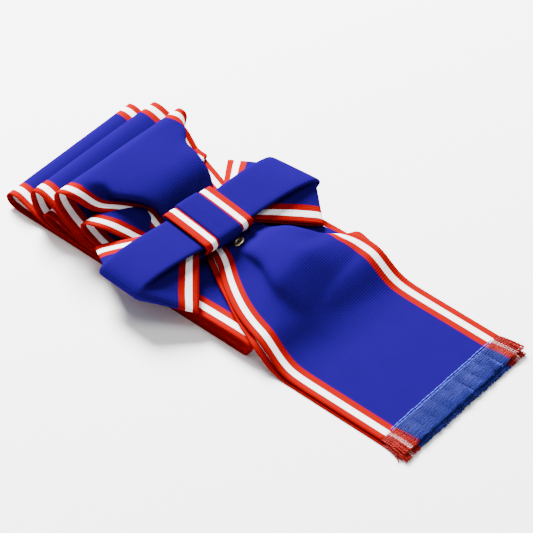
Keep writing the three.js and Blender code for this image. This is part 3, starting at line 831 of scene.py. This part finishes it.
def rest_on_stack(x, back_share):
    """Lowest height of the lower tail: on the stack, and past its end on the table."""
    return mix(stack_top + layer_pitch, layer(0), ease((x - stack_end) / stack_slope))


lower_grid = ribbon_along_x(
    lower_stations, lambda s: (tuck_gather, 5, 1), rest_on_stack, lower_tail_fine)
tail_lower = cloth_mesh("tail_lower_cloth", shifted(relaxed(lower_grid, 3)), ribbon_thick)
finished(tail_lower, "tail_lower", ribbon_cloth)


def upper_tail_section(station):
    """Places across the upper tail, from its front edge to what is tucked under its back."""
    x = station["point"].x
    top = station["point"].z
    half = ribbon_width / 2

    def place(y, z):
        back_share = y / ribbon_width + 0.5
        swung = x + station["swing"] * back_share * ribbon_width
        return Vector((swung, y, max(z, rest_on_lower(x, back_share))))

    low = rest_on_lower(x, 0.3)
    hump = max(0, top - low)
    lip = station["lip"] * half
    fold = station["fold"] * half
    back = top - station["sag"]
    places = [
        place(station["front"] * half, low),
        place(station["valley"] * half, low),
        place(lip + station["hollow"], low + hump * 0.35),
        place(lip, low + hump * 0.8),
        place(lip + half * 0.12, top),
        place(mix(lip, fold, 0.5), top),
        place(fold, back),
    ]
    shares = [0.0]
    for p, q in zip(places, places[1:]):
        shares.append(shares[-1] + (q - p).length / ribbon_width)
    spare = ribbon_width * (1 - shares[-1])
    inner = max(fold - spare, lip + tuck_inside)
    under = min(fold_drop, hump * 0.5)
    if spare > fold_drop and inner < fold:
        places += [place(fold - 0.5, back - under), place(inner, back - under * 1.3)]
        shares += [shares[-1] + under / ribbon_width, 1]
    else:
        shares[-1] = 1
    return places, shares


def upper_tail_grid():
    """The upper tail, divided evenly by its woven width."""
    grid = []
    shares = [k / upper_tail_columns for k in range(upper_tail_columns + 1)]
    for s in tail_stations(upper_tail_rows, tail_reach):
        places, place_shares = upper_tail_section(s)
        grid.append(list(zip(places_between(places, shares, place_shares), shares)))
    return grid


def resting_on_lower(grid):
    """The same grid, nowhere below the place where it comes to rest on the lower tail."""
    def lifted(p):
        return Vector((p.x, p.y, max(p.z, rest_on_lower(p.x, p.y / ribbon_width + 0.5))))

    return [[(lifted(p), share) for p, share in line] for line in grid]


upper_grid = relaxed(resting_on_lower(relaxed(upper_tail_grid(), 10, False)), 5, False)
tail_upper = cloth_mesh("tail_upper_cloth", shifted(upper_grid), ribbon_thick)
finished(tail_upper, "tail_upper", ribbon_cloth)


# Bow and its knot band

bow_turned = Matrix.Rotation(math.radians(-bow_turn), 3, "Z")
bow_centre = Vector((bow_centre_x, bow_centre_y, 0))


def corner_of(side, end):
    """The row of the bow's corner on the given side and end."""
    return next(c for c in bow_corners if c["side"] == side and c["end"] == end)


def bow_edge(station, side, end):
    """Outer edge of the ribbon at a section of the bow: straight from the knot to the corner."""
    corner = corner_of(side, end)
    upper, lower = [k for k in bow_edge_at_knot if k["side"] == side and k["end"] == end]
    share = station["spread"] ** mix(1.35, 1, station["over"])
    knot_x = mix(lower["x"], upper["x"], station["over"]) * knot_half_length
    knot_y = abs(mix(lower["y"], upper["y"], station["over"])) * knot_width / 2
    knot_z = mix(lower["z"], upper["z"], station["over"]) * bow_height
    apart = corner_fold_gap * min(1, (1 - share) * 16) * (2 * station["over"] - 1)
    return Vector((
        mix(knot_x, corner["x"] * ribbon_width / 2, share),
        mix(end * min(abs(station["point"].y), knot_y), corner["y"] * bow_half_span, share),
        mix(knot_z, corner["z"] * bow_height + apart, share),
    ))


def bow_fold(station, side, end):
    """Places that the margin passes, from the outer edge in under the panel and out to its fold."""
    corner = corner_of(side, end)
    half = mix(1, corner["panel"], station["spread"]) * bow_panel / 2
    short = corner.get("short", 0) * bow_half_span * ease(station["spread"])
    inward = Vector((0, station["tangent"].z, -station["tangent"].y)) * -1
    fold = station["point"] + Vector((side * half, -end * short, 0))
    edge = bow_edge(station, side, end)
    out = side * (edge.x - fold.x)
    away = (edge - fold).length
    depth = min(half - 0.5, max(0, (bow_margin ** 2 - away ** 2) / (2 * (bow_margin + out))))
    tucked = ease(depth / 4)
    under = fold + inward * layer_pitch * tucked
    inner = under - Vector((side * depth, 0, 0)) + inward * rest_gap * tucked
    below = inner + inward * layer_pitch * tucked
    return [edge, below, inner, under, fold]


def bow_grid():
    """The bow's ring: a margin, the flat panel and the other margin at each section."""
    def place(r):
        return Vector((0, r["y"] * bow_half_span, r["z"] * bow_height))

    margin_shares = [k / margin_columns for k in range(margin_columns)]
    panel_shares = [k / panel_columns for k in range(panel_columns + 1)]
    margin_width = bow_margin / ribbon_width

    def margin(corners):
        places = places_between(corners, margin_shares)
        return [(p, t * margin_width) for p, t in zip(places, margin_shares)]

    grid = []
    for s in stations_along(bow_rows, place, bow_step):
        end = -1 if s["point"].y < 0 else 1
        left = bow_fold(s, -1, end)
        right = bow_fold(s, 1, end)
        panel = [
            (left[-1].lerp(right[-1], t), mix(margin_width, 1 - margin_width, t))
            for t in panel_shares]
        far_margin = [(p, 1 - share) for p, share in reversed(margin(right))]
        grid.append(margin(left) + panel + far_margin)
    return grid


bow_laid = shifted(relaxed(bow_grid(), 5, False), bow_turned, bow_centre)
bow_ribbon = cloth_mesh("bow_ribbon_cloth", bow_laid, ribbon_thick)
finished(bow_ribbon, "bow_ribbon", ribbon_cloth)


def knot_profile():
    """Finely divided section of the band: y, height above the margins, place on the width."""
    profile = []
    for a, b in zip(knot_section, knot_section[1:]):
        steps = max(1, math.ceil((b["y"] - a["y"]) / knot_column))
        for n in range(steps):
            profile.append([mix(a[key], b[key], n / steps) for key in ("y", "up", "across")])
    last = knot_section[-1]
    profile.append([last["y"], last["up"], last["across"]])
    return profile


def knot_grid():
    """The band over the bow's middle, its profile square to its path."""
    def place(r):
        return Vector((r["x"] * knot_half_length, 0, r["z"] * bow_height))

    grid = []
    for s in stations_along(knot_rows, place, knot_step):
        outward = Vector((-s["tangent"].z, 0, s["tangent"].x))
        line = []
        for y, up, across in knot_profile():
            line.append((s["point"] + outward * up + Vector((0, y, 0)), across))
        grid.append(line)
    return grid


knot_laid = shifted(knot_grid(), bow_turned, bow_centre)
knot_band = cloth_mesh("knot_band_cloth", knot_laid, knot_thick)
finished(knot_band, "knot_band", ribbon_cloth)


# Fringes and their stitch line

def straight_thread():
    """A thin four-sided bar from 0 to 1, divided along its length, to bend into threads."""
    bm = bmesh.new()
    bmesh.ops.create_cone(bm, cap_ends=True, segments=4, radius1=1.0, radius2=0.7, depth=1.0)
    long_edges = [e for e in bm.edges if abs(e.verts[0].co.z - e.verts[1].co.z) > 0.5]
    bmesh.ops.subdivide_edges(bm, edges=long_edges, cuts=23)
    mesh = bpy.data.meshes.new("straight_thread")
    bm.to_mesh(mesh)
    bm.free()
    return mesh


def bent_threads(name, threads):
    """One piece of many threads, each given as its place on the width, its path and its radius."""
    bar = straight_thread()
    count = len(bar.vertices)
    bm = bmesh.new()
    for _ in threads:
        bm.from_mesh(bar)
    cloth_uv = bm.loops.layers.uv.new("cloth")
    across_of = {}
    every = list(bm.verts)
    for k, (across, path, radius) in enumerate(threads):
        for v in every[k * count:(k + 1) * count]:
            side = Vector((0, v.co.x * radius, v.co.y * min(radius, thread_depth)))
            v.co = (path(v.co.z + 0.5) + side) * MM
            across_of[v] = across
    for face in bm.faces:
        face.smooth = True
        for corner in face.loops:
            corner[cloth_uv].uv = (across_of[corner.vert], corner.vert.co.x / (ribbon_width * MM))
    bmesh.ops.recalc_face_normals(bm, faces=bm.faces)
    bpy.data.meshes.remove(bar)
    return piece_from(bm, name)


def fringe(name, start, forward, height, rise, seed):
    """Frayed end: crinkled threads in loose locks, longer and more spread at the corners."""
    rng = random.Random(seed)
    border = 3 * border_thread_width / ribbon_width
    locks = []
    while len(locks) < thread_count:
        lock = dict(
            sway=rng.uniform(-1.5, 1.5), long=rng.uniform(-0.6, 0.6), lift=rng.uniform(0.1, 0.9),
            phase=rng.uniform(0, 6.28), size=rng.randint(5, 11))
        for k in range(lock["size"]):
            locks.append(dict(lock, middle=(k + 0.5) / lock["size"] - 0.5))

    def crinkled(share, length, flare, base, sway, bulge, phase):
        y0 = (share - 0.5) * ribbon_width - forward

        def path(t):
            y = y0 + flare * t * t + sway * math.sin(t * 2.2) * t
            z = base + bulge * math.sin(t * 2.4) + rise * t
            turn = phase + t * crinkle_turn
            wave = Vector((0, crinkle_side * math.sin(turn), crinkle_up * math.cos(turn)))
            return Vector((start + t * length, y, z)) + wave + shift
        return path

    def stray(share, length, away, curl):
        y0 = (share - 0.5) * ribbon_width - forward

        def path(t):
            y = y0 + away * t * t + curl * math.sin(t * 4) * t
            return Vector((start + t * length, y, height + 0.3 * math.sin(t * 3.1))) + shift
        return path

    threads = []
    for deep in (False, True):
        for k in range(thread_count):
            share = (k + (0.75 if deep else 0.25)) / thread_count
            lock = dict(locks[k], sway=0, long=0, lift=0) if deep else locks[k]
            corner = ease((border - min(share, 1 - share)) / border)
            side = -1 if share < 0.5 else 1
            flare = corner * side * rng.uniform(0.2, 2.4) * (0.5 if deep else 1)
            length = fringe_length * (0.93 + 0.04 * corner) + lock["long"] + rng.uniform(-0.5, 0.4)
            rounded = lock_round * (1 - 4 * lock["middle"] ** 2) + corner * rng.uniform(0, 0.4)
            base = height + (-0.2 if deep else 0.25)
            path = crinkled(
                share, length, flare, base, lock["sway"], lock["lift"] + rounded,
                lock["phase"] + rng.uniform(-0.5, 0.5))
            threads.append((share, path, deep_thread_radius if deep else thread_radius))
    for _ in range(stray_count):
        front = rng.random() < 0.65
        share = rng.uniform(0.0, 0.03) if front else rng.uniform(0.975, 1.0)
        path = stray(
            share, fringe_length * rng.uniform(0.7, 0.98),
            rng.uniform(0.5, 4.5) * (-1 if front else 1), rng.uniform(-1.5, 1.5))
        threads.append((share, path, stray_radius))
    return bent_threads(name, threads)


def stitches(name, x, height, seed):
    """Two rows of slightly uneven long stitches across the tail, just before the fringe."""
    rng = random.Random(seed)
    bm = bmesh.new()
    for row in range(2):
        y = -ribbon_width / 2 + stitch_from_front
        while y < ribbon_width / 2 - stitch_from_back:
            length = stitch_length * rng.uniform(0.9, 1.15)
            lie = x + row * stitch_row_gap + rng.uniform(-0.15, 0.15)
            made = bmesh.ops.create_uvsphere(bm, u_segments=8, v_segments=6, radius=0.5)
            slant = Quaternion((0, 1, 0), rng.uniform(-0.06, 0.06))
            turned = Quaternion((1, 0, 0), math.pi / 2) @ slant
            for v in made["verts"]:
                p = Vector((v.co.x * 0.62, v.co.y * 0.34, v.co.z * length * 1.02))
                v.co = (turned @ p + Vector((lie, y + length / 2, height)) + shift) * MM
            y += length
    for face in bm.faces:
        face.smooth = True
    return piece_from(bm, name)


fringe_upper = fringe("fringe_upper_threads", tail_reach - fringe_overlap, 0, layer(1), 1.2, 3)
finished(fringe_upper, "fringe_upper", fringe_cloth)
fringe_lower = fringe(
    "fringe_lower_threads", lower_reach - fringe_overlap, lower_tail_forward, layer(0), 0.2, 8)
finished(fringe_lower, "fringe_lower", fringe_cloth)
stitch_line = stitches("stitch_line", tail_reach - stitch_line_in, layer(1) + stitch_lift, 5)
finished(stitch_line, None, stitch_thread("stitch_thread"))


# Eyelet

def eyelet_ring():
    """The rolled ring: a small round section spun about the ring's axis."""
    bm = bmesh.new()
    middle = (eyelet_outer + eyelet_hole) / 2
    radial = (eyelet_outer - eyelet_hole) / 2
    section = bmesh.ops.create_circle(bm, segments=14, radius=1.0)["verts"]
    for v in section:
        v.co = Vector((middle + v.co.x * radial, 0, v.co.y * eyelet_thick / 2))
    bmesh.ops.spin(
        bm, geom=section + list(bm.edges), cent=(0, 0, 0), axis=(0, 0, 1), angle=math.tau,
        steps=40, use_merge=True, use_duplicate=False)
    bmesh.ops.remove_doubles(bm, verts=bm.verts, dist=1e-4)
    bmesh.ops.recalc_face_normals(bm, faces=bm.faces)
    return bm


def hole_shade_disc():
    """A dark disc of painted shade inside the ring, standing for the shaded cloth seen through it."""
    bm = bmesh.new()
    reach = eyelet_hole * 1.15
    bmesh.ops.create_cone(
        bm, cap_ends=True, segments=28, radius1=reach, radius2=reach, depth=0.25)
    return bm


def seated_on_tail(name, bm):
    """Lays a part of the eyelet on the upper tail, square to its slope there."""
    slope = Vector((-eyelet_slope_x, -eyelet_slope_y, 1)).normalized()
    turned = Vector((0, 0, 1)).rotation_difference(slope)
    for v in bm.verts:
        v.co = (turned @ v.co + Vector((eyelet_x, eyelet_y, eyelet_z)) + shift) * MM
    for face in bm.faces:
        face.smooth = True
    return piece_from(bm, name)


ring = seated_on_tail("eyelet_ring", eyelet_ring())
finished(ring, "eyelet", gilt("gilt"))
# A dark disc of painted shade seen through the ring
hole_shade = seated_on_tail("eyelet_hole_shade", hole_shade_disc())
finished(hole_shade, None, hole_shade_paint("hole_shade_paint"))


# Floor, light and camera

def floor_plane():
    """A broad sheet of pale paper, as stage only."""
    bm = bmesh.new()
    bmesh.ops.create_grid(bm, x_segments=1, y_segments=1, size=6.0)
    plane = piece_from(bm, "floor")
    plane.data.materials.append(pale_floor("pale_floor"))


floor_plane()


def soft_light(name, place, size, power):
    """A round soft light that looks at the sash."""
    lamp = bpy.data.lights.new(name, "AREA")
    lamp.shape = "DISK"
    lamp.size = size
    lamp.energy = power
    holder = bpy.data.objects.new(name, lamp)
    bpy.context.collection.objects.link(holder)
    holder.location = place
    holder.rotation_euler = (-Vector(place)).to_track_quat("-Z", "Y").to_euler()


soft_light("window", place=(-1.5, 0.75, 1.35), size=1.0, power=420)
soft_light("overhead", place=(0.3, 0.2, 2.4), size=1.4, power=30)

world = bpy.data.worlds.new("studio")
world.use_nodes = True
studio_light = world.node_tree.nodes["Background"].inputs
studio_light["Color"].default_value = (1, 1, 1, 1)
studio_light["Strength"].default_value = 0.45
bpy.context.scene.world = world

# Camera of the photograph, fitted to the sash: focal length and width in pixels
photo_focal = 3000
photo_width = 533
camera_azimuth = math.radians(41.04)
camera_elevation = math.radians(45.07)
camera_distance = 1.660
camera_target = Vector((-7.0, 8.8, 0)) * MM + shift * MM

camera_data = bpy.data.cameras.new("camera")
camera_data.sensor_width = 36
camera_data.lens = photo_focal * camera_data.sensor_width / photo_width
camera = bpy.data.objects.new("camera", camera_data)
bpy.context.collection.objects.link(camera)
towards = Vector((
    math.sin(camera_azimuth) * math.cos(camera_elevation),
    -math.cos(camera_azimuth) * math.cos(camera_elevation),
    math.sin(camera_elevation),
))
camera.location = camera_target + towards * camera_distance
camera.rotation_euler = (-towards).to_track_quat("-Z", "Y").to_euler()
bpy.context.scene.camera = camera
